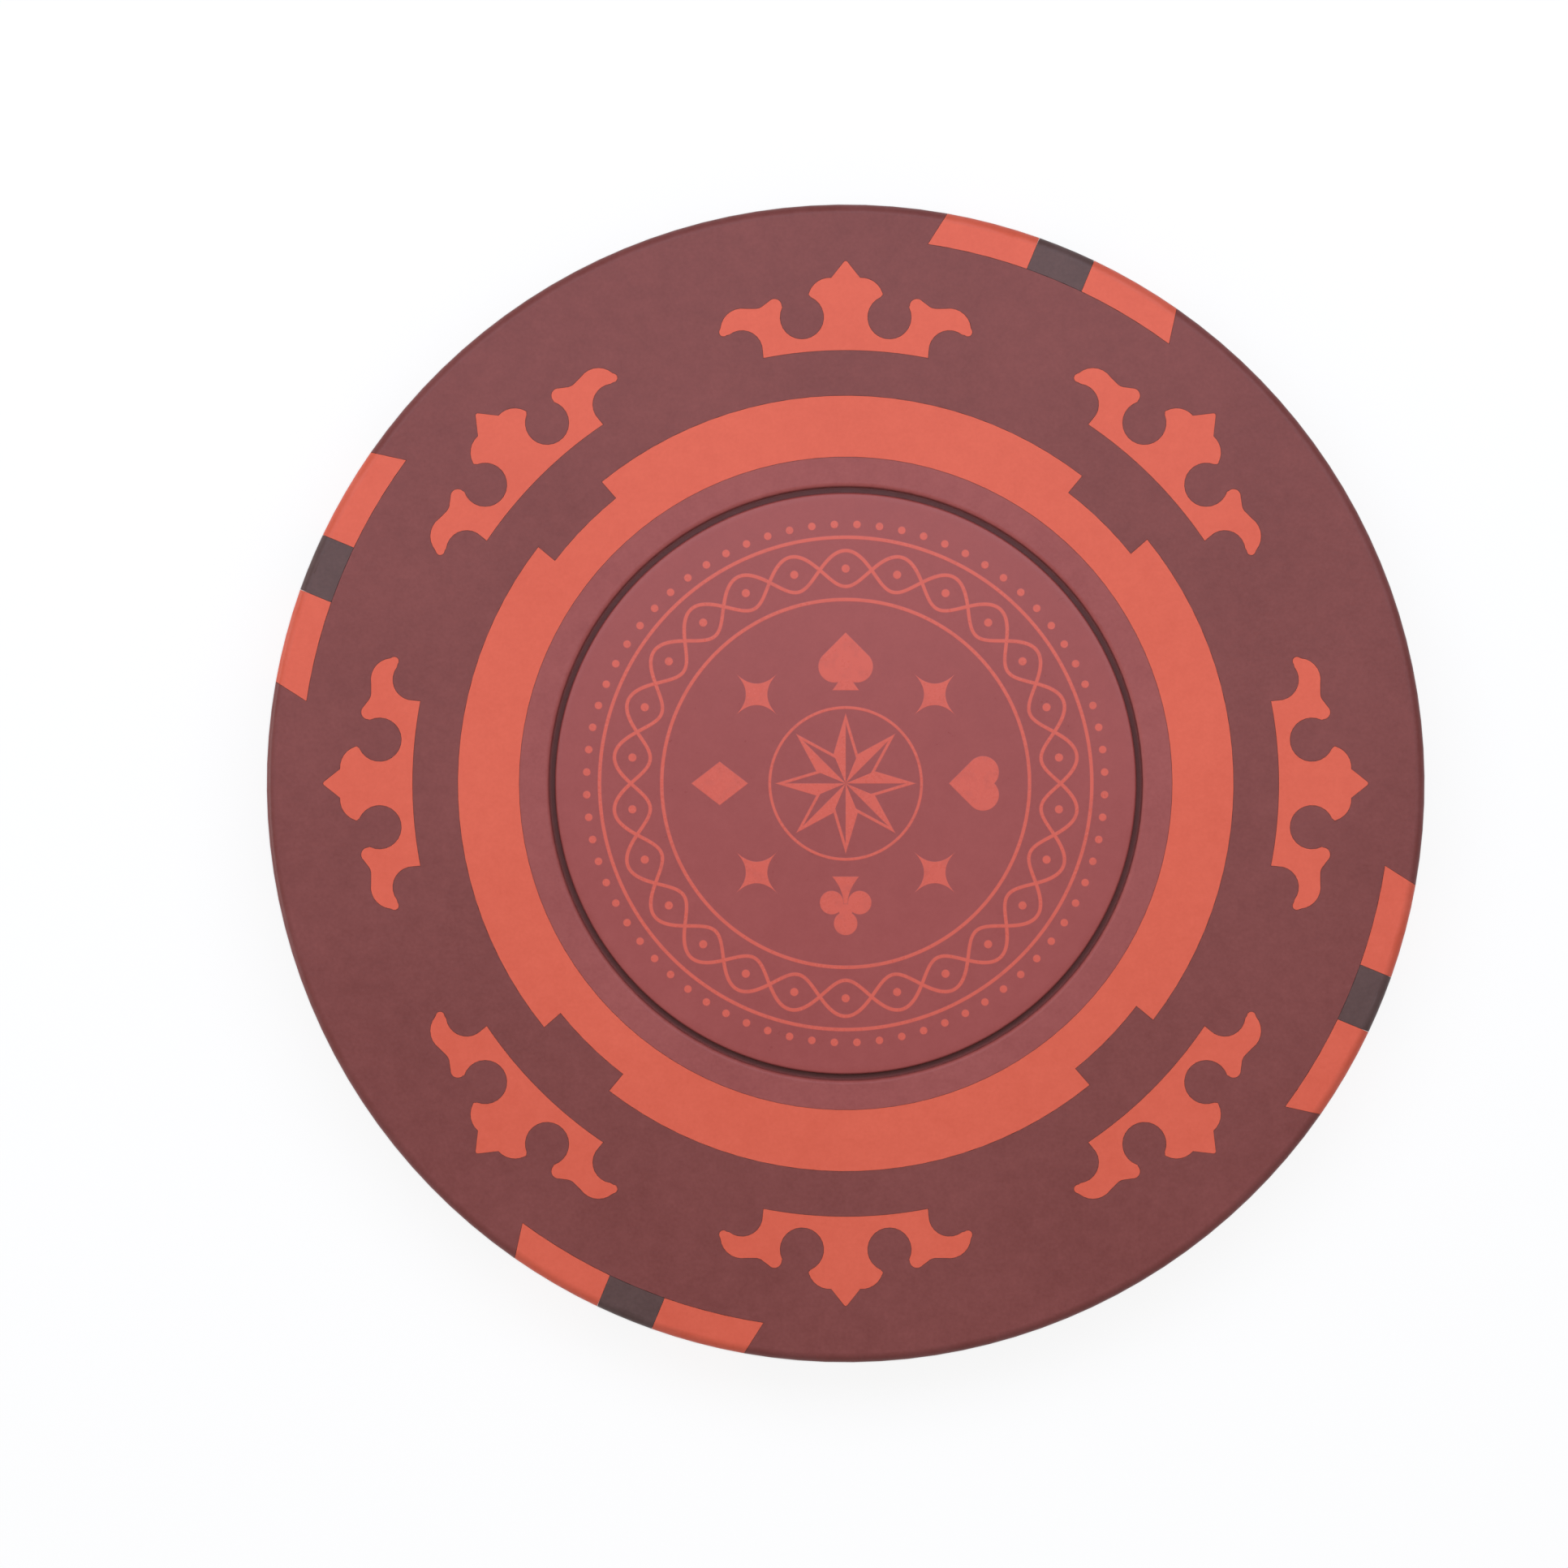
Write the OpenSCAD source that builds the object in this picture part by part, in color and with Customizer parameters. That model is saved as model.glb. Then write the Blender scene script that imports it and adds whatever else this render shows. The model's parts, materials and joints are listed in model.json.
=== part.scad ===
// Poker chip: a moulded body with inlaid edge spots, crowns and colour rings, and a centre of two discs
// that clamp a steel slug and the body's web, with a label in the recess of each disc.
// The chip lies flat with its axis along Z and its origin at the centre of the lower face.

/* [Chip] */
// Diameter over the rim
chip_d = 40; // [38:0.5:48]
// Thickness from face to face
chip_t = 3.5; // [3.2:0.1:4.2]
// Radius that rounds both edges of the rim
rim_round = 0.3; // [0.1:0.05:0.6]
// Play between an inlaid piece and the walls round it
inlay_gap = 0.01; // [0.01:0.01:0.05]

/* [Edge spots] */
// Number of spot groups round the rim
group_count = 4; // [2:1:6]
// Angle of the first group from +X
group_turn = 67.5; // [0:0.5:90]
// Depth of a spot in from the rim
spot_depth = 1.16; // [0.8:0.02:1.6]
// Width of a group at its inner edge
group_w = 9; // [7:0.1:10.5]
// How much a group narrows on each side up to the rim, so that it can't pull out
spot_taper = 0.22; // [0.1:0.02:0.4]
// Width of the dark spot in the middle of a group
dark_spot_w = 2.04; // [1:0.02:3]

/* [Crowns] */
// Number of crowns on the face
crown_count = 8; // [4:1:8]
// Angle of the first crown from +X
crown_turn = 90; // [0:0.5:90]
// Width over the tips of the outer leaves
crown_w = 8.74; // [7:0.02:9.4]
// Height from the top of the curved base to the point
crown_h = 3.08; // [2.5:0.02:3.4]
// Face between the point of a crown and the rim
crown_margin = 1.96; // [1.6:0.02:2.6]
// Width of the tongue behind a crown's base
crown_tongue_w = 4; // [3:0.1:4.4]

/* [Tongues] */
// Thickness of the tongues that lock crowns and spots in the body, at half the chip's thickness
tongue_t = 0.9; // [0.5:0.1:1.4]
// Reach of those tongues into the body
tongue_reach = 0.6; // [0.3:0.1:0.8]

/* [Colour rings] */
// Face between a ring and the crowns
ring_margin = 1.57; // [1:0.01:2]
// Width of a ring's face
ring_w = 2.11; // [1.8:0.01:2.5]
// Thickness of a ring
ring_t = 0.6; // [0.4:0.05:0.8]
// Number of body keys that reach into a ring
key_count = 4; // [2:1:8]
// Angle of the first key from +X
key_turn = 45.7; // [0:0.1:90]
// Depth of a key into the ring
key_depth = 0.75; // [0.5:0.05:0.9]
// Width of a key at the ring's outer edge
key_w = 3.16; // [2:0.02:4]
// How much a key narrows on each side down to its tip
key_taper = 0.06; // [0:0.02:0.2]

/* [Centre discs] */
// Face between a ring and the label recess
centre_band = 1.04; // [0.6:0.02:1.4]
// Lap of a ring over the flange of its centre disc
ring_lap = 1; // [0.7:0.05:1.1]
// Depth of the label recess
recess_depth = 0.35; // [0.2:0.05:0.4]
// Radius that rounds the mouth of that recess
recess_round = 0.16; // [0.02:0.02:0.18]
// Thickness of the body's web between the two discs
web_t = 0.8; // [0.5:0.1:1.2]
// Reach of the web in between the two discs
web_reach = 0.5; // [0.3:0.05:0.8]
// Wall of the discs round the slug
slug_wall = 0.6; // [0.4:0.05:1.2]

/* [Slug and pins] */
// Thickness of the steel slug
slug_t = 1.8; // [1.2:0.1:2]
// Number of pins that join the two discs through the slug
pin_count = 6; // [3:1:8]
// Diameter of a pin on the front disc
pin_d = 1.2; // [0.8:0.1:1.6]
// Wall of the rear disc's boss round a pin
boss_wall = 0.6; // [0.4:0.05:0.8]
// Distance of the pins in from the slug's edge
pin_inset = 4; // [2.5:0.1:5]
// Space left beyond a pin's end
pin_end_gap = 0.2; // [0.1:0.05:0.5]

/* [Labels] */
// Thickness of a label
label_t = 0.3; // [0.1:0.05:0.35]
// Width of the groove left round a label
label_groove = 0.2; // [0.1:0.05:0.5]
// Radius that rounds the face edge of a label
label_round = 0.08; // [0.02:0.02:0.08]

/* [Hidden] */
$fn = 96;
// Overrun of every cut past the face that it leaves by
overrun = 0.5;
// Overlap that fuses a tongue, web, pin or boss to its own piece
root = 0.15;
// Angle between the points of a crown's arcs
arc_step = 15;

body_colour = "#7d4a4b";
bright_colour = "#df6650";
dark_colour = "#564846";
centre_colour = "#99504f";
label_colour = "#a05452";
steel_colour = "#b4b6b8";

// Radii, from the rim inwards
rim_r = chip_d / 2;
spot_r = rim_r - spot_depth;
crown_base_r = rim_r - crown_margin - crown_h;
ring_r = crown_base_r - ring_margin;
ring_in_r = ring_r - ring_w;
disc_r = ring_in_r + ring_lap;
web_r = disc_r - web_reach;
slug_r = web_r - slug_wall - 2 * inlay_gap;
pin_r = slug_r - pin_inset;
recess_r = ring_in_r - centre_band;
label_r = recess_r - label_groove;
boss_d = pin_d + 2 * boss_wall;

// Heights above the middle of the chip
half_t = chip_t / 2;
ring_seat_z = half_t - ring_t;
label_seat_z = half_t - recess_depth;

// The flank of a spot group runs straight from its inner corner to its rim corner
inner_corner_x = group_w / 2;
rim_corner_x = inner_corner_x - spot_taper;
inner_corner_y = sqrt(spot_r * spot_r - inner_corner_x * inner_corner_x);
rim_corner_y = sqrt(rim_r * rim_r - rim_corner_x * rim_corner_x);
group_low_y = inner_corner_y - tongue_reach - overrun;
group_high_y = rim_r + overrun;

// Arcs of the right half of a crown, from its base up to its point. A row has the centre and the radius
// as shares of half the crown's width, the angles of the two ends, and 1 for a bulge or -1 for a hollow.
crown_arc_shares = [
    [0.819, -0.007, 0.164, 180, 52, -1],
    [0.966, 0.142, 0.034, 225, 380, 1],
    [0.819, 0.158, 0.171, 5, 100, 1],
    [0.716, 0.423, 0.097, 275, 225, -1],
    [0.563, 0.348, 0.057, 40, 180, 1],
    [0.346, 0.26, 0.174, 27, -247, -1],
    [0.279, 0.443, 0.014, -70, 15, 1],
    [0.126, 0.4, 0.172, 18, 94, 1],
    [0, 0.687, 0.018, 38, 90, 1]
];
// Height of the point and half the width of the base, on the scale of those rows
crown_point_share = 0.705;
crown_base_share = 0.65;

// Points along an ellipse about a centre, evenly spaced from one angle to another
function arc_points(centre, radii, from, to, steps) = [
    for (k = [0 : steps])
        let (angle = from + (to - from) * k / steps)
        centre + [radii.x * cos(angle), radii.y * sin(angle)]
];

// Right half of a crown from above its base corner to its point, with y from the top of the base
function half_crown(grow) =
    let (scale_x = crown_w / 2, scale_y = crown_h / crown_point_share)
    [
        for (row = crown_arc_shares)
            let (centre = [row[0] * scale_x, row[1] * scale_y])
            let (radii = [row[2] * scale_x, row[2] * scale_y] + row[5] * [grow, grow])
            each arc_points(centre, radii, row[3], row[4], ceil(abs(row[4] - row[3]) / arc_step))
    ];

// Curved base of a crown from its left corner to its right one, about the chip's centre
function crown_base(grow) =
    let (base_r = crown_base_r - grow)
    let (half_angle = asin((crown_base_share * crown_w / 2 + grow) / base_r))
    arc_points([0, 0], [base_r, base_r], 90 + half_angle, 90 - half_angle, 2 * ceil(half_angle));

// Outline of a crown that points along +Y from its place on the chip
module crown_outline(grow) {
    right = [for (p = half_crown(grow)) p + [0, crown_base_r]];
    last = len(right) - 1;
    left = [for (k = [1 : last]) [-right[last - k].x, right[last - k].y]];
    polygon(concat(crown_base(grow), right, left));
}

// Tongue behind a crown's base, at half the chip's thickness
module crown_tongue(grow) {
    width = crown_tongue_w + 2 * grow;
    low_y = crown_base_r - tongue_reach - grow;
    height = tongue_t + 2 * grow;
    translate([-width / 2, low_y, half_t - height / 2])
        cube([width, crown_base_r + root - low_y, height]);
}

module crown(i) {
    color(bright_colour)
        rotate(crown_turn - (i - 1) * 360 / crown_count - 90) {
            linear_extrude(chip_t) crown_outline(0);
            crown_tongue(0);
        }
}

module crown_pockets() {
    for (i = [1 : crown_count])
        rotate(crown_turn - (i - 1) * 360 / crown_count - 90) {
            translate([0, 0, -overrun])
                linear_extrude(chip_t + 2 * overrun) crown_outline(inlay_gap);
            crown_tongue(inlay_gap);
        }
}

// Half section of the chip from a radius out to its rounded rim
module rim_section(from_r) {
    translate([from_r, 0]) square([rim_r - rim_round - from_r, chip_t]);
    translate([from_r, rim_round]) square([rim_r - from_r, chip_t - 2 * rim_round]);
    for (z = [rim_round, chip_t - rim_round])
        translate([rim_r - rim_round, z]) circle(rim_round);
}

// Half section of the tongue behind the spots
module spot_tongue_section(grow) {
    height = tongue_t + 2 * grow;
    translate([spot_r - tongue_reach - grow, half_t - height / 2])
        square([tongue_reach + grow + root, height]);
}

// How far a flank of a spot group stands off the group's middle line
function flank_x(y) =
    inner_corner_x - spot_taper * (y - inner_corner_y) / (rim_corner_y - inner_corner_y);

// Full height block between two edges, each given by where it stands at the low and the high end
module group_block(left, right) {
    translate([0, 0, -overrun])
        linear_extrude(chip_t + 2 * overrun)
            polygon([
                [left[0], group_low_y],
                [right[0], group_low_y],
                [right[1], group_high_y],
                [left[1], group_high_y]
            ]);
}

function flank(grow) = [flank_x(group_low_y) + grow, flank_x(group_high_y) + grow];

module spot_blank() {
    rotate_extrude() {
        rim_section(spot_r);
        spot_tongue_section(0);
    }
}

// Places a piece that is drawn along +Y at a group's angle
module at_group(g) {
    rotate(group_turn - (g - 1) * 360 / group_count - 90) children();
}

module edge_spot(i) {
    side = (dark_spot_w + inlay_gap) / 2;
    color(bright_colour)
        at_group(ceil(i / 2))
            mirror([i % 2, 0, 0])
                intersection() {
                    spot_blank();
                    group_block([side, side], flank(0));
                }
}

module dark_spot(i) {
    side = (dark_spot_w - inlay_gap) / 2;
    color(dark_colour)
        at_group(i)
            intersection() {
                spot_blank();
                group_block([-side, -side], [side, side]);
            }
}

module spot_slots() {
    for (g = [1 : group_count])
        at_group(g)
            intersection() {
                rotate_extrude() {
                    translate([spot_r - inlay_gap, -overrun])
                        square([spot_depth + inlay_gap + overrun, chip_t + 2 * overrun]);
                    spot_tongue_section(inlay_gap);
                }
                group_block(-flank(inlay_gap), flank(inlay_gap));
            }
}

// Key that reaches from the body into a ring, drawn along +Y from the ring's seat up past the face
module key_block(grow) {
    tip_r = ring_r - key_depth + grow;
    tip_x = key_w / 2 - key_taper - grow;
    edge_x = key_w / 2 - grow;
    low_y = tip_r - key_depth;
    low_x = tip_x - key_taper;
    high_y = ring_r + key_depth;
    high_x = edge_x + key_taper;
    intersection() {
        linear_extrude(ring_t + overrun)
            polygon([[-low_x, low_y], [low_x, low_y], [high_x, high_y], [-high_x, high_y]]);
        difference() {
            cylinder(r = ring_r + overrun, h = ring_t + overrun);
            translate([0, 0, -overrun]) cylinder(r = tip_r, h = ring_t + 3 * overrun);
        }
    }
}

module ring_keys(grow) {
    for (k = [1 : key_count])
        rotate(key_turn + (k - 1) * 360 / key_count - 90) key_block(grow);
}

// A notched ring of the upper face, from its seat up
module colour_ring() {
    translate([0, 0, half_t + ring_seat_z])
        difference() {
            cylinder(r = ring_r, h = ring_t);
            translate([0, 0, -overrun]) cylinder(r = ring_in_r, h = ring_t + 2 * overrun);
            ring_keys(0);
        }
}

// What is cut from the upper face of the body for a ring
module ring_seat() {
    translate([0, 0, half_t + ring_seat_z])
        difference() {
            cylinder(r = ring_r + inlay_gap, h = ring_t + overrun);
            ring_keys(inlay_gap);
        }
}

// Turns a piece of the upper face over to the lower one
module lower_face() {
    translate([0, 0, chip_t]) mirror([0, 0, 1]) children();
}

module front_ring() {
    color(bright_colour) colour_ring();
}

module rear_ring() {
    color(bright_colour) lower_face() colour_ring();
}

module body() {
    color(body_colour)
        difference() {
            rotate_extrude() {
                rim_section(disc_r + inlay_gap);
                translate([web_r, half_t - web_t / 2])
                    square([web_reach + inlay_gap + root, web_t]);
            }
            ring_seat();
            lower_face() ring_seat();
            crown_pockets();
            spot_slots();
        }
}

// Half section of the upper centre disc: face band, label recess with its rounded mouth, flange under the
// ring, web rebate and slug pocket
module centre_disc_section() {
    mouth = [recess_r + recess_round, half_t - recess_round];
    polygon([
        [0, slug_t / 2],
        [slug_r + inlay_gap, slug_t / 2],
        [slug_r + inlay_gap, 0],
        [web_r - inlay_gap, 0],
        [web_r - inlay_gap, web_t / 2],
        [disc_r, web_t / 2],
        [disc_r, ring_seat_z],
        [ring_in_r - inlay_gap, ring_seat_z],
        [ring_in_r - inlay_gap, half_t],
        [mouth.x, half_t],
        mouth,
        [recess_r, mouth.y],
        [recess_r, label_seat_z],
        [0, label_seat_z]
    ]);
    translate(mouth) circle(recess_round);
}

module centre_disc() {
    translate([0, 0, half_t]) rotate_extrude() centre_disc_section();
}

// Places a copy at each pin
module at_pins() {
    for (k = [1 : pin_count])
        rotate((k - 1) * 360 / pin_count) translate([pin_r, 0, half_t]) children();
}

module front_centre_disc() {
    color(centre_colour) {
        centre_disc();
        at_pins()
            translate([0, 0, pin_end_gap - slug_t / 2])
                cylinder(d = pin_d, h = slug_t - pin_end_gap + root);
    }
}

module rear_centre_disc() {
    color(centre_colour)
        difference() {
            union() {
                lower_face() centre_disc();
                at_pins()
                    translate([0, 0, -slug_t / 2 - root]) cylinder(d = boss_d, h = slug_t + root);
            }
            at_pins()
                translate([0, 0, -slug_t / 2]) cylinder(d = pin_d + 2 * inlay_gap, h = slug_t + overrun);
        }
}

module steel_slug() {
    color(steel_colour)
        difference() {
            translate([0, 0, half_t - slug_t / 2]) cylinder(r = slug_r, h = slug_t);
            at_pins()
                translate([0, 0, -half_t]) cylinder(d = boss_d + 2 * inlay_gap, h = chip_t);
        }
}

// Half section of a label from its seat up, with its face edge rounded
module label_section() {
    square([label_r, label_t - label_round]);
    square([label_r - label_round, label_t]);
    intersection() {
        translate([label_r - label_round, label_t - label_round]) circle(label_round);
        square([label_r, label_t]);
    }
}

module label() {
    translate([0, 0, half_t + label_seat_z]) rotate_extrude() label_section();
}

module front_label() {
    color(label_colour) label();
}

module rear_label() {
    color(label_colour) lower_face() label();
}

body();
steel_slug();
front_centre_disc();
rear_centre_disc();
front_ring();
rear_ring();
front_label();
rear_label();
for (i = [1 : crown_count])
    crown(i);
for (i = [1 : 2 * group_count])
    edge_spot(i);
for (i = [1 : group_count])
    dark_spot(i);
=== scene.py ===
import json
import math

import bmesh
import bpy
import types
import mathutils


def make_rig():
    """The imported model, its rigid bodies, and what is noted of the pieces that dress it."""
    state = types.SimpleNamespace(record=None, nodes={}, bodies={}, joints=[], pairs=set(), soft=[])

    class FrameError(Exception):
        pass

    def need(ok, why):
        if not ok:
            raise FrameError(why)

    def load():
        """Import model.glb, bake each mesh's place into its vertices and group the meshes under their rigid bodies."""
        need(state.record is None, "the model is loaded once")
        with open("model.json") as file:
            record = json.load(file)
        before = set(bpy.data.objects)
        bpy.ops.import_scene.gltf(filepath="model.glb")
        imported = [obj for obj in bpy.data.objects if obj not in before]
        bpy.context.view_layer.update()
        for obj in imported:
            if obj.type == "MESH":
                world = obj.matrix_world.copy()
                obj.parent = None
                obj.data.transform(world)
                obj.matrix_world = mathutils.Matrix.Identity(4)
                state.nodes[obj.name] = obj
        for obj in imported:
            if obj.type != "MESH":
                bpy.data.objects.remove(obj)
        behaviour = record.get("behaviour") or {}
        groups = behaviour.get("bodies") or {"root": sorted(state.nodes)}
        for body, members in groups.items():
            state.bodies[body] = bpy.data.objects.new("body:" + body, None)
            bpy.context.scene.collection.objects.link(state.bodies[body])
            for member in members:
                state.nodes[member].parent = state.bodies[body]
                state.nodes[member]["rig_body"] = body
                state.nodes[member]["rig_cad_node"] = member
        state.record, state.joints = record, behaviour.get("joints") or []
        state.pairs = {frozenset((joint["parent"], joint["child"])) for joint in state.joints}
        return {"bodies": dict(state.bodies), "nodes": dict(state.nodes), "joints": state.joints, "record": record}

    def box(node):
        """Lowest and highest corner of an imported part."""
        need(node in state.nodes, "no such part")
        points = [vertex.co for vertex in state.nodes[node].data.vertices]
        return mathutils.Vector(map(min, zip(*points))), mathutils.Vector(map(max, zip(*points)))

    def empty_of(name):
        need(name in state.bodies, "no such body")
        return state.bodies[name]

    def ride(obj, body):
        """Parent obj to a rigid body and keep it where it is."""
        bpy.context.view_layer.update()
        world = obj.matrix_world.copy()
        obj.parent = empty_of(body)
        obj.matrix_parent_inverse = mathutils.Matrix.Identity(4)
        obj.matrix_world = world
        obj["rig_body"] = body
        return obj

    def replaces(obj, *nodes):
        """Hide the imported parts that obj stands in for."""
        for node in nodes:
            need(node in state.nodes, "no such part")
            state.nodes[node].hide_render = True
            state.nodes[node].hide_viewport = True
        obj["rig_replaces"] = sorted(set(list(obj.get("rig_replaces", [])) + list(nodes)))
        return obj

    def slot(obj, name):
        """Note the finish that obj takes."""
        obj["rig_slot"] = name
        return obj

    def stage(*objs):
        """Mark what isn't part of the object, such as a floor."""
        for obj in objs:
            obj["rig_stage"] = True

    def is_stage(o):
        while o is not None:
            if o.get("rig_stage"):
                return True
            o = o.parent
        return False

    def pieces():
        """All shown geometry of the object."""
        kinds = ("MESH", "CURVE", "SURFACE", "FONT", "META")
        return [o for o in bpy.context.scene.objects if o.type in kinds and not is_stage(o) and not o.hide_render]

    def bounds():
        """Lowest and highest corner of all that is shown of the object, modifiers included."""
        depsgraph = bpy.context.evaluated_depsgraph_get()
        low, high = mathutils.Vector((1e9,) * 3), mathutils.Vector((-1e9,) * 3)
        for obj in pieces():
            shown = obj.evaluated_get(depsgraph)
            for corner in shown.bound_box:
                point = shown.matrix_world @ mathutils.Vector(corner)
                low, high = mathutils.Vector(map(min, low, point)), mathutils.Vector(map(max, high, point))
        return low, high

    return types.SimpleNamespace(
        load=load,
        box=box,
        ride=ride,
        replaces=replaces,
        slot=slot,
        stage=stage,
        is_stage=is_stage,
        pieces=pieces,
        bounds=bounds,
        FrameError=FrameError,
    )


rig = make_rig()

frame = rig.load()
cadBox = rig.bounds()
nodes = frame["nodes"]
print("frame loaded,", len(nodes), "nodes")


# a socket that can be used in sums
class Wire:
    def __init__(self, look, socket):
        self.look, self.socket = look, socket

    def maths(self, operation, *values, clamp=False):
        settings = {"operation": operation, "use_clamp": clamp}
        return self.look.node("ShaderNodeMath", settings, dict(enumerate(values)))

    def __add__(self, other):
        return self.maths("ADD", self, other)

    def __sub__(self, other):
        return self.maths("SUBTRACT", self, other)

    def __rsub__(self, other):
        return self.maths("SUBTRACT", other, self)

    def __mul__(self, other):
        return self.maths("MULTIPLY", self, other)

    def __truediv__(self, other):
        return self.maths("DIVIDE", self, other)

    def __rtruediv__(self, other):
        return self.maths("DIVIDE", other, self)

    def __pow__(self, other):
        return self.maths("POWER", self, other)

    def __rpow__(self, other):
        return self.maths("POWER", other, self)

    def __gt__(self, other):
        return self.maths("GREATER_THAN", self, other)

    def __lt__(self, other):
        return self.maths("LESS_THAN", self, other)

    def __abs__(self):
        return self.maths("ABSOLUTE", self)

    def __neg__(self):
        return self * -1

    __radd__, __rmul__ = __add__, __mul__

    def lower(self, other):
        return self.maths("MINIMUM", self, other)

    def higher(self, other):
        return self.maths("MAXIMUM", self, other)

    def sine(self):
        return self.maths("SINE", self)

    def cosine(self):
        return self.maths("COSINE", self)

    def fraction(self):
        return self.maths("FRACT", self)

    # 0 at start, 1 at end, straight between
    def ramp(self, start, end):
        gain = 1 / (end - start)
        return self.maths("MULTIPLY_ADD", self, gain, -start * gain, clamp=True)


def across(a, b):
    return (a * a + b * b) ** 0.5


# one material, or the world, while it is being wired
class Look:
    def __init__(self, owner):
        owner.use_nodes = True
        self.owner, self.tree = owner, owner.node_tree
        self.tree.nodes.clear()

    def node(self, kind, settings=None, sockets=None, out=0):
        made = self.tree.nodes.new(kind)
        for name, value in (settings or {}).items():
            setattr(made, name, value)
        for key, value in (sockets or {}).items():
            if isinstance(value, Wire):
                self.tree.links.new(value.socket, made.inputs[key])
            else:
                made.inputs[key].default_value = value
        return Wire(self, made.outputs[out]) if made.outputs else made

    def millimetres(self):
        place = self.node("ShaderNodeTexCoord", out="Object")
        sockets = {0: place, "Scale": 1000}
        return self.node("ShaderNodeVectorMath", {"operation": "SCALE"}, sockets, "Vector")

    def axes(self, place):
        apart = self.node("ShaderNodeSeparateXYZ", None, {0: place}, "X")
        return [Wire(self, socket) for socket in apart.socket.node.outputs]

    def noise(self, place, size, detail, rough=0.5):
        sockets = {"Vector": place, "Scale": 1 / size, "Detail": detail, "Roughness": rough}
        return self.node("ShaderNodeTexNoise", None, sockets, "Fac")

    def cells(self, place, size, soft):
        settings = {"feature": "SMOOTH_F1"}
        sockets = {"Vector": place, "Scale": 1 / size, "Smoothness": soft}
        return self.node("ShaderNodeTexVoronoi", settings, sockets, "Distance")

    def blend(self, share, first, second):
        return self.node("ShaderNodeMix", {"data_type": "RGBA"}, {0: share, 6: first, 7: second}, 2)

    def bump(self, height, strength, depth):
        sockets = {"Height": height, "Strength": strength, "Distance": depth}
        return self.node("ShaderNodeBump", None, sockets, "Normal")

    def finish(self, sockets):
        shader = self.node("ShaderNodeBsdfPrincipled", None, sockets, "BSDF")
        self.node("ShaderNodeOutputMaterial", None, {"Surface": shader})
        return self.owner


def newMaterial(name):
    return Look(bpy.data.materials.new(name))


# a screen colour as the shader's linear one
def rgb(red, green, blue):
    part = [c / 255 for c in (red, green, blue)]
    return [c / 12.92 if c < 0.04045 else ((c + 0.055) / 1.055) ** 2.4 for c in part] + [1.0]


def darker(colour, share):
    return [c * share for c in colour[:3]] + [1]


# moulded clay composite, shared by the body and all inlays
moulded = {
    "cloud": (5.0, 3), "mottle": (0.55, 4, 0.6), "fleck": (0.12, 1),   # mm, detail, roughness of a noise
    "cloudShare": 0.35, "mottleShare": 0.4, "fleckShare": 0.25, "toneRange": (0.3, 0.7),
    "wear": (1.6, 4, 0.7), "wearRange": (0.42, 0.66), "wearShare": 0.3,
    "pit": (0.07, 2), "pitRise": 0.35, "pebble": (0.17, 0.4), "pebbleRise": 0.9,   # mm, softness
    "grainStrength": 0.45, "grainDepth": 0.000010,   # m
    "rough": 0.44, "roughSpread": 0.10, "edgePolish": 0.05, "shine": 0.22,
    # the rim's painted shade: where it sits on the rounding and how dark it is
    "edge": (19.66, 19.84), "rollDepth": (0.26, 0.06), "rollShade": 0.32, "rollDark": 0.45,   # mm, shares
    "half": 1.75, "groove": (10.31, 10.15),   # mm, half the thickness and where painted shade darkens the groove
}


def toneOf(look, place):
    m = moulded
    cloud = look.noise(place, *m["cloud"])
    mottle = look.noise(place, *m["mottle"])
    fleck = look.noise(place, *m["fleck"])
    tone = cloud * m["cloudShare"] + mottle * m["mottleShare"] + fleck * m["fleckShare"]
    return tone.ramp(*m["toneRange"])


def mouldedLook(name, deep, pale, polish, grooveShade=None):
    m = moulded
    look = newMaterial(name)
    place = look.millimetres()
    x, y, z = look.axes(place)
    r = across(x, y)
    depth = m["half"] - abs(z - m["half"])   # below the nearer face
    tone = toneOf(look, place)
    edge = r.ramp(*m["edge"])
    roll = edge * depth.ramp(*m["rollDepth"])   # painted shade where the face rolls over into the rim
    worn = look.noise(place, *m["wear"]).ramp(*m["wearRange"]) * edge
    colour = look.blend(tone, deep, pale)
    colour = look.blend(worn * m["wearShare"], colour, polish)
    # painted shade darkens the rim's rounding towards a darker deep colour
    colour = look.blend(roll * m["rollShade"], colour, darker(deep, m["rollDark"]))
    if grooveShade:   # painted shade in the groove round the label
        colour = look.blend(r.ramp(*m["groove"]), colour, grooveShade)
    pebble = look.cells(place, *m["pebble"])
    pit = look.noise(place, *m["pit"])
    height = pit * m["pitRise"] - pebble * m["pebbleRise"]
    rough = m["rough"] + (tone - 0.5) * m["roughSpread"] - edge * m["edgePolish"]
    return look.finish({
        "Base Color": colour, "Roughness": rough, "Specular IOR Level": m["shine"],
        "Normal": look.bump(height, m["grainStrength"], m["grainDepth"]),
    })


# deep, pale and worn colour, and the painted shade of the groove
bodyLook = mouldedLook("maroon_composite", rgb(107, 48, 44), rgb(125, 64, 60), rgb(136, 80, 80))
inlayLook = mouldedLook("salmon_composite", rgb(203, 84, 60), rgb(214, 95, 71), rgb(226, 116, 98))
darkLook = mouldedLook("charcoal_composite", rgb(71, 48, 45), rgb(91, 66, 63), rgb(108, 88, 88))
# the last colour is painted shade in the groove round the label
centreLook = mouldedLook(
    "rose_composite", rgb(134, 62, 59), rgb(152, 78, 74), rgb(158, 88, 88), rgb(88, 38, 34))
print("moulded finishes wired")


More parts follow.
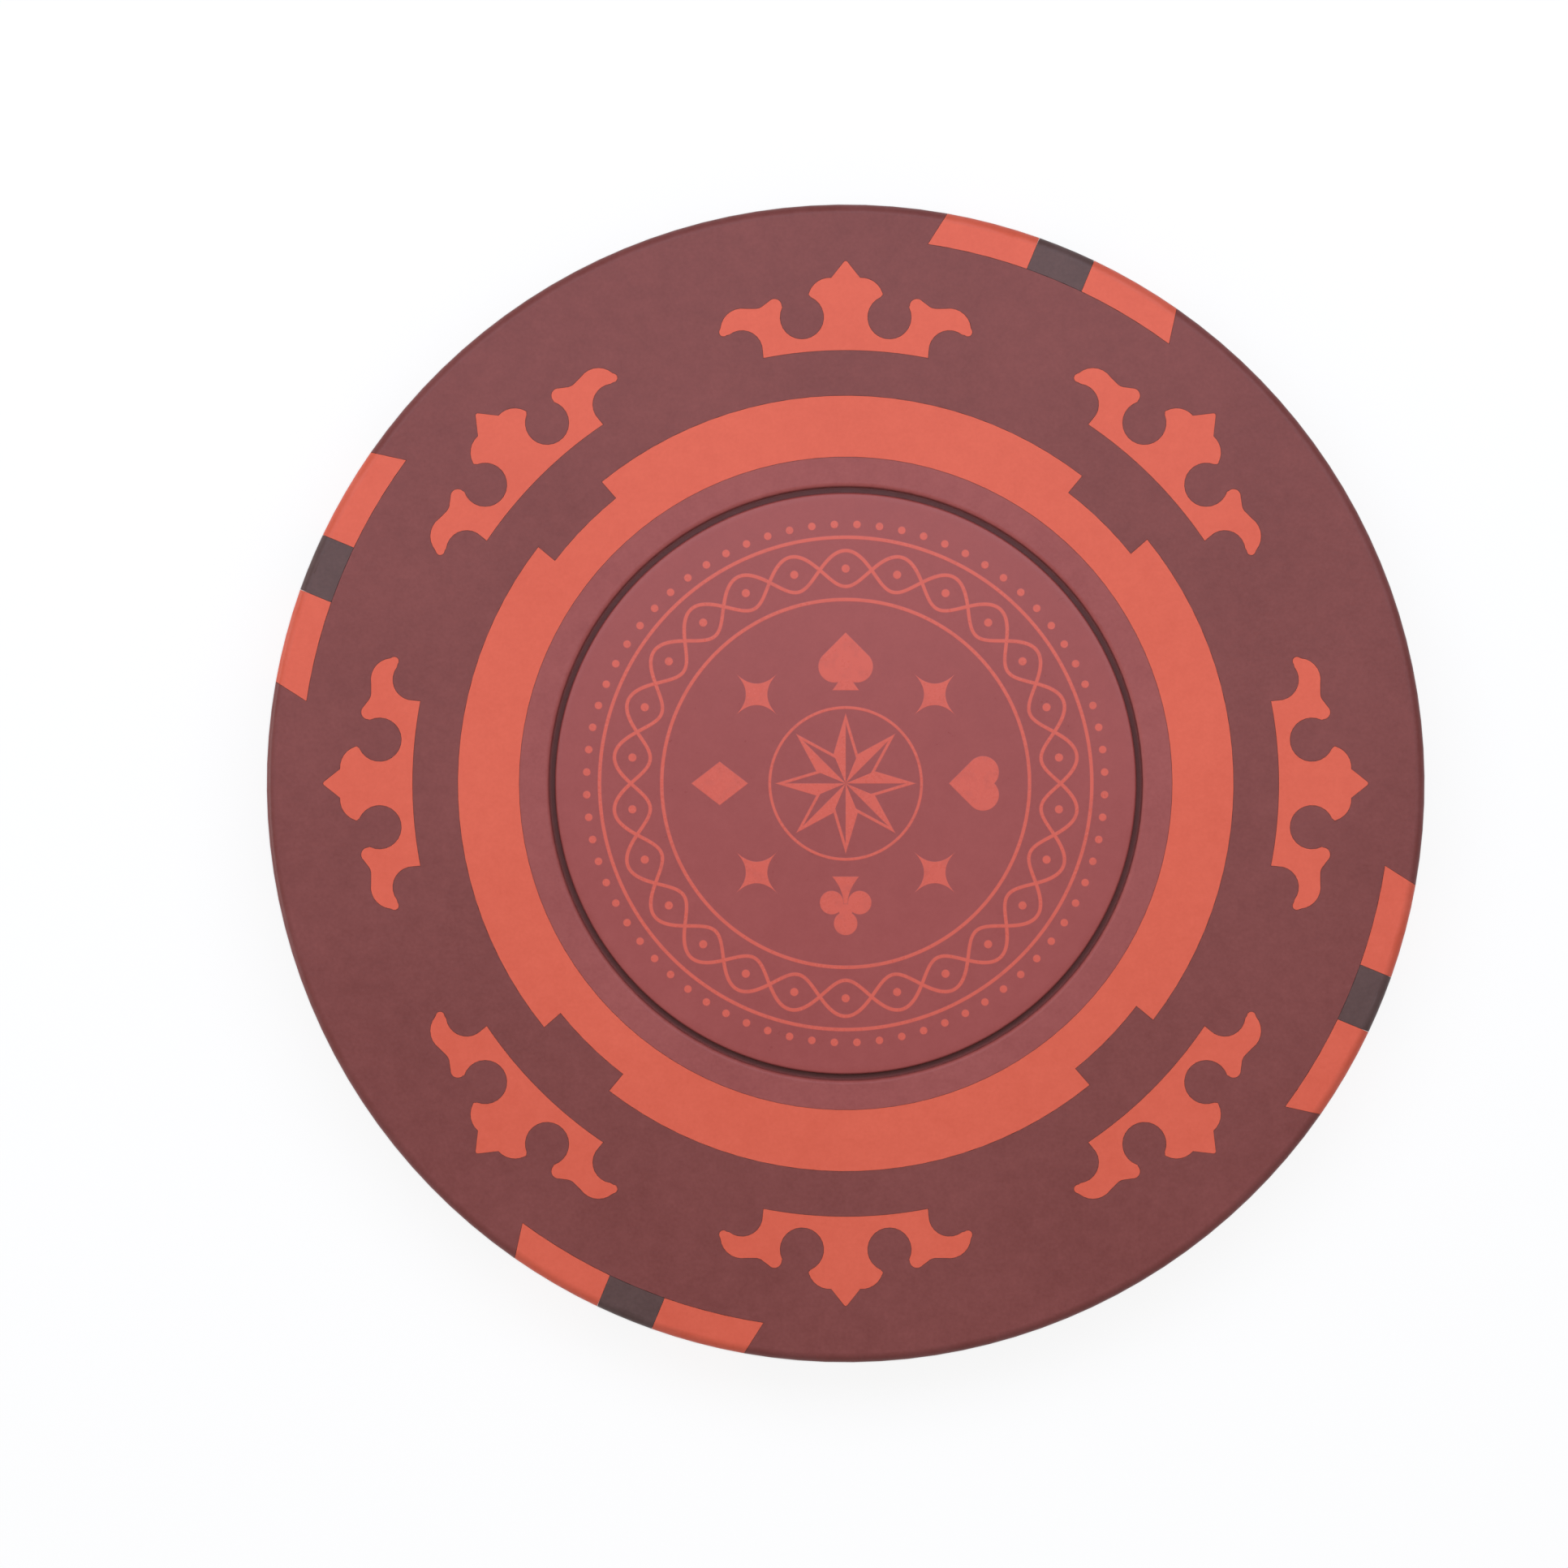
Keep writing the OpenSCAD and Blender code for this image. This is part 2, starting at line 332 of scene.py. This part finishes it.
# printed label: beads, woven band, four card suits and a star
printed = {
    "paper": (rgb(140, 61, 58), rgb(150, 70, 66)), "ink": rgb(210, 91, 73), "inkShare": 0.82,
    "line": 0.12, "starLine": 0.096, "soft": 0.03,   # mm
    # painted shade on the label's rounded edge beside the groove
    "rub": (9.95, 10.04), "rubShade": 0.4, "rubDark": 0.4,   # mm, shares
    "beadRing": 8.95, "beads": 72, "beadSize": 0.13,
    "rings": (8.5, 6.35), "bandRing": 7.42, "bandRise": 0.62, "eyes": 26, "eyeDot": 0.14,
    "suitRing": 4.35, "suit": 0.78, "sparkRing": 4.35, "spark": 1.05, "sparkScale": 0.5,
    "starOut": 2.25, "starIn": 1.02, "starPoints": 8, "starRing": 2.62,
    "inkFrom": 1.68,   # mm from the chip's middle, so that only the face has ink
    "wear": (0.5, 5, 0.65), "wearRange": (0.25, 0.5), "wearShare": 0.25,
    "grain": (0.09, 2), "grainRise": 0.5, "inkRise": 0.6,
    "grainStrength": 0.3, "grainDepth": 0.000006,   # m
    "rough": 0.31, "roughSpread": 0.1, "inkPolish": 0.04, "shine": 0.25,
}

# the suits' own proportions, as shares of a suit's size
suits = {
    "footTop": 0.25, "footEnd": 1.45, "footFlare": 0.5, "footStem": 0.09, "spadeLift": 0.1,
    "leaf": 0.52, "leafOut": 0.62, "leafDrop": 0.3, "core": 0.3, "coreLift": 0.05,
    "diamondThin": 1.3, "diamondTall": 1.25, "diamondScale": 0.62,
}


def turned(x, y, degrees, ring):
    c, s = math.cos(math.radians(degrees)), math.sin(math.radians(degrees))
    return x * -s + y * c, x * c + y * s - ring   # along, outward


def heart(u, v, h):
    lozenge = (abs(u) + abs(v) - h) * math.sqrt(0.5)
    lobe = across(abs(u) - h / 2, v - h / 2) - h * math.sqrt(0.5)
    return lozenge.lower(lobe)


def foot(u, v, h):
    top, end = suits["footTop"] * h, suits["footEnd"] * h
    drop = (-top - v) * (1 / (end - top))
    flare = abs(u) - (drop * drop * (suits["footFlare"] * h) + suits["footStem"] * h)
    return flare.higher(v + top).higher(-end - v)


def spade(u, v, h):
    return heart(u, -v + suits["spadeLift"] * h, h).lower(foot(u, v, h))


def club(u, v, h):
    out, leaf = suits["leafOut"] * h, suits["leaf"] * h
    top = across(u, v - out) - leaf
    side = across(abs(u) - out, v + suits["leafDrop"] * h) - leaf
    core = across(u, v - suits["coreLift"] * h) - suits["core"] * h
    return top.lower(side).lower(core).lower(foot(u, v, h))


def diamond(u, v, h):
    lozenge = abs(u) * suits["diamondThin"] + abs(v) - suits["diamondTall"] * h
    return lozenge * suits["diamondScale"]


def inkMarks(look, x, y, r):
    p = printed
    angle = look.node("ShaderNodeMath", {"operation": "ARCTAN2"}, {0: y, 1: x})

    def cover(distance):
        return distance.ramp(p["soft"] / 2, -p["soft"] / 2)

    def stroke(distance, width=p["line"]):
        return cover(abs(distance) - width / 2)

    # the angle from the middle of the nearest of so many equal parts
    def folded(count, turn=0.0):
        step = 2 * math.pi / count
        return ((angle * (1 / step) + turn).fraction() - 0.5) * step

    marks = [stroke(r - ring) for ring in p["rings"]]
    bead = folded(p["beads"]) * r
    marks.append(cover(across(bead, r - p["beadRing"]) - p["beadSize"]))

    # two waves that cross, with a dot in each eye
    for side in (1, -1):
        turn = angle * (p["eyes"] / 2)
        rise = side * p["bandRise"]
        wave = r - p["bandRing"] - turn.sine() * rise
        slope = turn.cosine() * (rise * p["eyes"] / 2 / p["bandRing"])
        marks.append(stroke(wave / (slope * slope + 1) ** 0.5))
    eye = folded(p["eyes"]) * r
    marks.append(cover(across(eye, r - p["bandRing"]) - p["eyeDot"]))

    for suit, degrees in ((spade, 90), (heart, 0), (club, 270), (diamond, 180)):
        u, v = turned(x, y, degrees, p["suitRing"])
        marks.append(cover(suit(u, v, p["suit"])))
    quarter = folded(4)   # sparks stand between the suits
    u, v = quarter.sine() * r, quarter.cosine() * r - p["sparkRing"]
    spark = (abs(u) ** 0.5 + abs(v) ** 0.5) ** 2 - p["spark"]
    marks.append(cover(spark * p["sparkScale"]))

    # star with one half of each point filled
    wedge = folded(p["starPoints"], 0.5)
    u, v = wedge.cosine() * r, wedge.sine() * r
    half = math.pi / p["starPoints"]
    tip = p["starOut"], 0
    notch = p["starIn"] * math.cos(half), p["starIn"] * math.sin(half)
    run = notch[0] - tip[0], notch[1] - tip[1]
    size = math.hypot(*run)
    side = -((u - tip[0]) * (-run[1] / size) + abs(v) * (run[0] / size))
    marks.append(stroke(side, p["starLine"]))
    marks.append(cover(side.higher(-v)))
    marks.append(stroke(r - p["starRing"], p["starLine"]))
    return marks


def labelLook():
    p = printed
    look = newMaterial("label_print")
    place = look.millimetres()
    x, y, z = look.axes(place)
    r = across(x, y)
    marks = inkMarks(look, x, y, r)
    inked = marks[0]
    for mark in marks[1:]:
        inked = inked.higher(mark)
    onFace = abs(z - moulded["half"]) > p["inkFrom"]
    wear = look.noise(place, *p["wear"]).ramp(*p["wearRange"])
    inked = inked * onFace * (wear * p["wearShare"] + (1 - p["wearShare"])) * p["inkShare"]

    tone = toneOf(look, place)
    paper = look.blend(tone, *p["paper"])
    # painted shade darkens the paper at the label's rounded edge
    paintedEdgeShade = r.ramp(*p["rub"]) * p["rubShade"]
    paper = look.blend(paintedEdgeShade, paper, darker(p["paper"][0], p["rubDark"]))
    colour = look.blend(inked, paper, p["ink"])
    height = look.noise(place, *p["grain"]) * p["grainRise"] + inked * p["inkRise"]
    rough = p["rough"] + (tone - 0.5) * p["roughSpread"] - inked * p["inkPolish"]
    return look.finish({
        "Base Color": colour, "Roughness": rough, "Specular IOR Level": p["shine"],
        "Normal": look.bump(height, p["grainStrength"], p["grainDepth"]),
    })


printLook = labelLook()
print("label print wired")


# pressed steel slug, hidden in the middle
slug = {
    "bright": (0.56, 0.56, 0.57, 1), "dull": (0.40, 0.40, 0.42, 1), "toneRange": (0.3, 0.7),
    "turning": (0.05, 3), "spots": (1.2, 5, 0.7),   # mm, detail, roughness of a noise
    "rough": 0.34, "roughSpread": 0.3, "grainStrength": 0.2, "grainDepth": 0.000005,   # m
}


def slugLook():
    look = newMaterial("pressed_steel")
    place = look.millimetres()
    x, y, z = look.axes(place)
    rings = look.node("ShaderNodeCombineXYZ", None, {0: across(x, y), 1: z})
    turning = look.noise(rings, *slug["turning"])
    spots = look.noise(place, *slug["spots"])
    tone = (turning * 0.5 + spots * 0.5).ramp(*slug["toneRange"])
    return look.finish({
        "Base Color": look.blend(tone, slug["dull"], slug["bright"]), "Metallic": 1.0,
        "Roughness": slug["rough"] + (spots - 0.5) * slug["roughSpread"],
        "Normal": look.bump(turning, slug["grainStrength"], slug["grainDepth"]),
    })


near = 0.0000005   # m, points closer than this are in one place
smoothUnder = math.radians(35)   # edges that turn less than this look round

# the label takes the node's size, with a finer edge and a map that gives the printed face most room
label = {
    "sides": 256, "edgeRound": 0.00008, "roundSteps": 4, "flatEdge": 0.00015,   # m
    "faceMap": (0.475, 0.475, 0.465), "backMap": (0.855, 0.90, 0.08),   # middle and reach on the map
    "sideMap": (0.955, 0.985), "sideMiddle": 0.5, "sideReach": 0.49,   # an upright strip
    "sideLean": 0.5,   # upright part of the normal, less on the side
}


def pick(piece, wanted):
    bpy.ops.object.mode_set(mode="EDIT")
    bpy.ops.mesh.select_all(action="DESELECT")
    shape = bmesh.from_edit_mesh(piece.data)
    shape.normal_update()
    wanted(shape)
    shape.select_flush_mode()
    bmesh.update_edit_mesh(piece.data)


def mapLabel(piece, radius, low, high, facing):
    mesh = piece.data
    spots = mesh.uv_layers.new(name="OFBake").data
    left, right = label["sideMap"]
    for face in mesh.polygons:
        turn = math.atan2(face.center.y, face.center.x)
        for corner in face.loop_indices:
            place = mesh.vertices[mesh.loops[corner].vertex_index].co
            if abs(face.normal.z) < label["sideLean"]:   # side, as a strip
                angle = math.atan2(place.y, place.x) - turn
                angle = turn + (angle + math.pi) % (2 * math.pi) - math.pi
                share = (place.z - low) / (high - low)
                u = left + (right - left) * share
                v = label["sideMiddle"] + label["sideReach"] * angle / math.pi
            else:
                u, v, reach = label["faceMap"] if face.normal.z * facing > 0 else label["backMap"]
                u += math.copysign(reach, face.normal.z) * place.x / radius
                v += reach * place.y / radius
            spots[corner].uv = u, v


def makeLabel(nodeName, facing):
    low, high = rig.box(nodeName)
    radius, thick = (high.x - low.x) / 2, high.z - low.z
    faceHeight = high.z if facing > 0 else low.z
    bpy.ops.object.select_all(action="DESELECT")
    bpy.ops.mesh.primitive_cylinder_add(
        vertices=label["sides"], radius=radius, depth=thick,
        location=(0, 0, (low.z + high.z) / 2), calc_uvs=False)
    piece = bpy.context.object
    piece.name = nodeName + "_print"
    bpy.ops.object.transform_apply(location=True, rotation=False, scale=False)

    def onFace(part):
        return all(abs(vert.co.z - faceHeight) < near for vert in part.verts)

    def faceEdge(shape):
        for edge in shape.edges:
            edge.select_set(onFace(edge))

    def flatFace(shape):
        for face in shape.faces:
            face.select_set(len(face.verts) > 4 and onFace(face))

    pick(piece, faceEdge)
    bpy.ops.mesh.bevel(offset=label["edgeRound"], segments=label["roundSteps"], affect="EDGES")
    pick(piece, flatFace)
    bpy.ops.mesh.inset(thickness=label["flatEdge"], depth=0)
    bpy.ops.object.mode_set(mode="OBJECT")
    bpy.ops.object.shade_smooth_by_angle(angle=smoothUnder)
    mapLabel(piece, radius, low.z, high.z, facing)
    piece.data.materials.clear()
    piece.data.materials.append(printLook)
    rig.ride(piece, "root")
    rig.slot(piece, "label_print")
    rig.replaces(piece, nodeName)


makeLabel("front_label", 1)
makeLabel("rear_label", -1)
print("labels made")


# the body and the centre discs are their nodes' shapes, with the rounded edges laid again in even rows
even = {
    "merge": 0.0000001, "volumeSpread": 0.001,   # m, share that a copy's volume may be off
    "flatFrom": 0.99999,   # upright part of a flat face's normal
}
rim = {
    "face": 0.0197, "side": 0.0200, "round": 0.0003,   # m, where it leaves the face and meets the side
    "middles": (22.5, 112.5, 202.5, 292.5), "reach": 45,   # degrees, the stretches between the spots
    "walls": (32.252, 32.613), "nearWall": 0.01, "endReach": 1,   # degrees from a stretch's middle
}
mouth = {
    "face": 0.01040, "side": 0.01024, "round": 0.00016,   # m
    "leans": (8, 20, 33, 46, 59, 72, 84),   # degrees, one for each row
}


def polar(vert, middle=0.0):
    turn = math.degrees(math.atan2(vert.co.y, vert.co.x)) - middle
    return math.hypot(vert.co.x, vert.co.y), (turn + 180) % 360 - 180


# how far a point is from the face towards the side, as a share of the rounding
def shareOut(roll, radius):
    return (radius - roll["face"]) / (roll["side"] - roll["face"])


def besideSpot(vert):
    radius, turn = polar(vert, rim["middles"][0])
    inner, outer = rim["walls"]
    wall = inner + (outer - inner) * shareOut(rim, radius)
    turn = (turn + rim["reach"]) % (2 * rim["reach"]) - rim["reach"]
    return abs(abs(turn) - wall) < rim["nearWall"]


# a face of the rounding, not of the flat face, the side or the walls beside the spots
def onRoll(face, roll, faceHeight):
    outs = [shareOut(roll, polar(vert)[0]) * roll["round"] for vert in face.verts]
    depths = [abs(vert.co.z - faceHeight) for vert in face.verts]
    within = min(outs) > -near and max(outs + depths) < roll["round"] + near
    curved = max(depths) > near and min(outs) < roll["round"] - near
    return within and curved and not (roll is rim and all(besideSpot(v) for v in face.verts))


def layRoll(shape, roll, faceHeight, down, middle):
    closed = "leans" in roll
    made = []

    # the points along one edge of the rounding, each with its angle
    def chain(radius, height):
        found = []
        for vert in shape.verts:
            r, turn = polar(vert, middle)
            onEdge = abs(r - radius) < near and abs(vert.co.z - height) < near
            if onEdge and (closed or abs(turn) < roll["reach"]):
                found.append((turn, vert))
        found.sort(key=lambda point: point[0])
        if closed and found:
            found.append((found[0][0] + 360, found[0][1]))
        return found

    # the points that the rounding has at one end, next to a spot
    def endRow(end):
        found = []
        for vert in shape.verts:
            r, turn = polar(vert, middle)
            out, depth = r - roll["face"], abs(vert.co.z - faceHeight)
            onRound = abs(math.hypot(out, roll["round"] - depth) - roll["round"]) < near
            if onRound and near < depth < roll["round"] - near and abs(turn - end) < roll["endReach"]:
                found.append(vert)
        return sorted(found, key=lambda vert: abs(vert.co.z - faceHeight))

    def lay(*corners):
        made.append(shape.faces.new([vert for turn, vert in corners]))

    top = chain(roll["face"], faceHeight)
    side = chain(roll["side"], faceHeight + down * roll["round"])
    if len(top) < 2 or len(side) < 2:
        return
    first, last = top[0][0], top[-1][0]
    if closed:
        starts = stops = []
        outs = [math.sin(math.radians(lean)) for lean in roll["leans"]]
    else:
        starts, stops = endRow(first), endRow(last)
        outs = [shareOut(roll, polar(vert)[0]) for vert in starts]

    rows = [top]
    for k, out in enumerate(outs):
        radius = roll["face"] + (roll["side"] - roll["face"]) * out
        height = faceHeight + down * roll["round"] * (1 - math.sqrt(max(0, 1 - out * out)))
        row = []
        for i in range(len(top)):
            turn, atEnd = top[i][0], i == len(top) - 1
            if not closed:   # the ends lean with the walls of the spots
                along = (turn - first) / (last - first)
                turn += (side[0][0] + along * (side[-1][0] - side[0][0]) - turn) * out
            if i == 0 and starts:
                vert = starts[k]
            elif atEnd and closed:
                vert = row[0][1]
            elif atEnd and len(stops) == len(starts):
                vert = stops[k]
            else:
                angle = math.radians(middle + turn)
                vert = shape.verts.new((radius * math.cos(angle), radius * math.sin(angle), height))
            row.append((turn, vert))
        rows.append(row)
    for upper, lower in zip(rows, rows[1:]):
        for i in range(len(top) - 1):
            lay(upper[i], upper[i + 1], lower[i + 1], lower[i])

    # the last row meets the side, which may have other steps
    lower, i, j = rows[-1], 0, 0
    while i + 1 < len(lower) or j + 1 < len(side):
        if j + 1 == len(side) or i + 1 < len(lower) and lower[i + 1][0] < side[j + 1][0]:
            lay(lower[i], lower[i + 1], side[j])
            i += 1
        else:
            lay(lower[i], side[j + 1], side[j])
            j += 1

    way = math.copysign(1, roll["side"] - roll["face"])
    for face in made:   # all face outwards
        face.normal_update()
        centre = face.calc_center_median()
        out = (face.normal.x * centre.x + face.normal.y * centre.y) / math.hypot(centre.x, centre.y)
        if way * out - down * face.normal.z < 0:
            face.normal_flip()


def makeEven(nodeName, look, slotName, roll, sides):
    low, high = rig.box(nodeName)
    mesh = nodes[nodeName].data.copy()
    shape = bmesh.new()
    shape.from_mesh(mesh)
    bmesh.ops.remove_doubles(shape, verts=shape.verts, dist=even["merge"])
    volume = shape.calc_volume()
    try:
        for down in sides:
            faceHeight = high.z if down < 0 else low.z
            uneven = [face for face in shape.faces if onRoll(face, roll, faceHeight)]
            bmesh.ops.delete(shape, geom=uneven, context="FACES")
            for middle in roll.get("middles", [0.0]):
                layRoll(shape, roll, faceHeight, down, middle)
        closed = all(len(edge.link_faces) == 2 for edge in shape.edges)
        sound = closed and abs(shape.calc_volume() / volume - 1) < even["volumeSpread"]
    except ValueError:   # a face that can't be laid
        sound = False
    shape.to_mesh(mesh)
    shape.free()
    if not sound:
        bpy.data.meshes.remove(mesh)
        print(nodeName, "keeps its own edges")
        return

    piece = bpy.data.objects.new(nodeName + "_moulding", mesh)
    bpy.context.scene.collection.objects.link(piece)
    bpy.ops.object.select_all(action="DESELECT")
    piece.select_set(True)
    bpy.context.view_layer.objects.active = piece
    bpy.ops.mesh.customdata_custom_splitnormals_clear()
    bpy.ops.object.shade_smooth_by_angle(angle=smoothUnder)
    for face in mesh.polygons:
        if abs(face.normal.z) > even["flatFrom"]:
            face.use_smooth = False   # flat faces stay flat up to the rounding
    mesh.materials.clear()
    mesh.materials.append(look)
    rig.ride(piece, "root")
    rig.slot(piece, slotName)
    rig.replaces(piece, nodeName)


makeEven("body", bodyLook, "body_maroon", rim, (-1, 1))
makeEven("front_centre_disc", centreLook, "centre_red", mouth, (-1,))
makeEven("rear_centre_disc", centreLook, "centre_red", mouth, (1,))
print("rounded edges laid")


# finishes by the node's name, or by the first word of it
looks = {
    "body": bodyLook, "crown": inlayLook, "edge": inlayLook, "dark": darkLook, "steel": slugLook(),
    "front_ring": inlayLook, "rear_ring": inlayLook, "front_label": printLook, "rear_label": printLook,
    "front_centre_disc": centreLook, "rear_centre_disc": centreLook,
}
for name, node in nodes.items():
    look = looks.get(name) or looks[name.split("_")[0]]
    for materialSlot in node.material_slots:
        materialSlot.material = look
print("finishes on all nodes")


# white studio table, duller for the light that it throws back on the chip
table = {
    "size": 6.0, "seen": (0.96, 0.96, 0.96, 1), "dull": (0.6, 0.6, 0.6, 1),   # m
    "lift": 0.88, "covered": (19.85, 20.15),   # share of glow, mm of the painted contact shadow under and just past the chip's edge
}
white = (1, 1, 1, 1)


# 1 where the camera sees it, straight or in a reflection
def seenRay(look):
    camera = look.node("ShaderNodeLightPath", out="Is Camera Ray")
    rays = camera.socket.node.outputs
    clear, glossy = Wire(look, rays["Is Transmission Ray"]), Wire(look, rays["Is Glossy Ray"])
    return camera.higher(clear).higher(glossy)


def makeTable():
    bpy.ops.object.select_all(action="DESELECT")
    bpy.ops.mesh.primitive_plane_add(size=table["size"], location=(0, 0, 0))
    floor = bpy.context.object
    floor.name = "table_top"
    look = newMaterial("white_table")
    dull = look.node("ShaderNodeBsdfDiffuse", None, {"Color": table["dull"]})
    pale = look.node("ShaderNodeBsdfDiffuse", None, {"Color": table["seen"]})
    glow = look.node("ShaderNodeEmission", None, {"Color": white, "Strength": 1.0})
    lifted = look.node("ShaderNodeMixShader", None, {0: table["lift"], 1: pale, 2: glow})
    x, y, z = look.axes(look.millimetres())
    # painted contact shadow: camera rays see the dull floor under the chip and just past its edge
    clearOfContactShadow = across(x, y).ramp(*table["covered"])
    mixed = look.node("ShaderNodeMixShader", None, {0: seenRay(look) * clearOfContactShadow, 1: dull, 2: lifted})
    look.node("ShaderNodeOutputMaterial", None, {"Surface": mixed})
    floor.data.materials.append(look.owner)
    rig.stage(floor)


makeTable()


# soft light: a big box overhead, a strip behind, a low strip at the left
lamps = {
    "overhead": {
        "place": (-0.03, 0.0, 0.45), "aim": (0, 0, 0),
        "size": (0.8, 0.8), "power": 0.42, "tint": (1, 1, 1),
    },
    "window": {
        "place": (0.0, 0.04, 0.10), "aim": (0, 0.04, 0),
        "size": (0.16, 0.07), "power": 0.085, "tint": (0.92, 1.0, 1.22),
    },
    "left": {
        "place": (-0.20, 0.0, 0.02), "aim": (0, 0, 0.003),
        "size": (0.14, 0.04), "power": 0.12, "tint": (1, 1, 1),
    },
}


def makeLamp(name, setting):
    lamp = bpy.data.lights.new(name, "AREA")
    lamp.shape = "RECTANGLE"
    lamp.size, lamp.size_y = setting["size"]
    lamp.energy, lamp.color = setting["power"], setting["tint"]
    holder = bpy.data.objects.new(name, lamp)
    bpy.context.scene.collection.objects.link(holder)
    holder.location = setting["place"]
    away = holder.location.copy()
    for i in range(3):
        away[i] -= setting["aim"][i]
    holder.rotation_mode = "QUATERNION"
    holder.rotation_quaternion = away.to_track_quat("Z", "Y")
    holder.visible_camera = False


for name, setting in lamps.items():
    makeLamp(name, setting)


# the room's light, on the chip and as it is seen
room = {"fill": 0.46, "seen": 1.0}


def makeRoom():
    look = Look(bpy.data.worlds.new("white_room"))
    dim = look.node("ShaderNodeBackground", None, {"Color": white, "Strength": room["fill"]})
    bright = look.node("ShaderNodeBackground", None, {"Color": white, "Strength": room["seen"]})
    sky = look.node("ShaderNodeMixShader", None, {0: seenRay(look), 1: dim, 2: bright})
    look.node("ShaderNodeOutputWorld", None, {"Surface": sky})
    bpy.context.scene.world = look.owner


makeRoom()
print("table and lamps set")


# straight down on the face, long lens
shot = {
    "offset": (-0.00213, -0.00002), "height": 0.60, "width": 0.05414,   # m, above and across the face
    "sensor": 36.0, "clip": (0.01, 20),   # mm, m
}


def makeCamera():
    data = bpy.data.cameras.new("camera")
    data.sensor_width = shot["sensor"]
    data.lens = shot["sensor"] * shot["height"] / shot["width"]
    data.clip_start, data.clip_end = shot["clip"]
    camera = bpy.data.objects.new("camera", data)
    bpy.context.scene.collection.objects.link(camera)
    faceHeight = cadBox[1][2]
    camera.location = (*shot["offset"], faceHeight + shot["height"])
    bpy.context.scene.camera = camera


makeCamera()
bpy.context.scene.view_settings.view_transform = "Standard"
print("camera set")

with open("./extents.json", "w") as sizes:
    json.dump({"cad": [list(c) for c in cadBox], "visual": [list(c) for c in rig.bounds()]}, sizes)
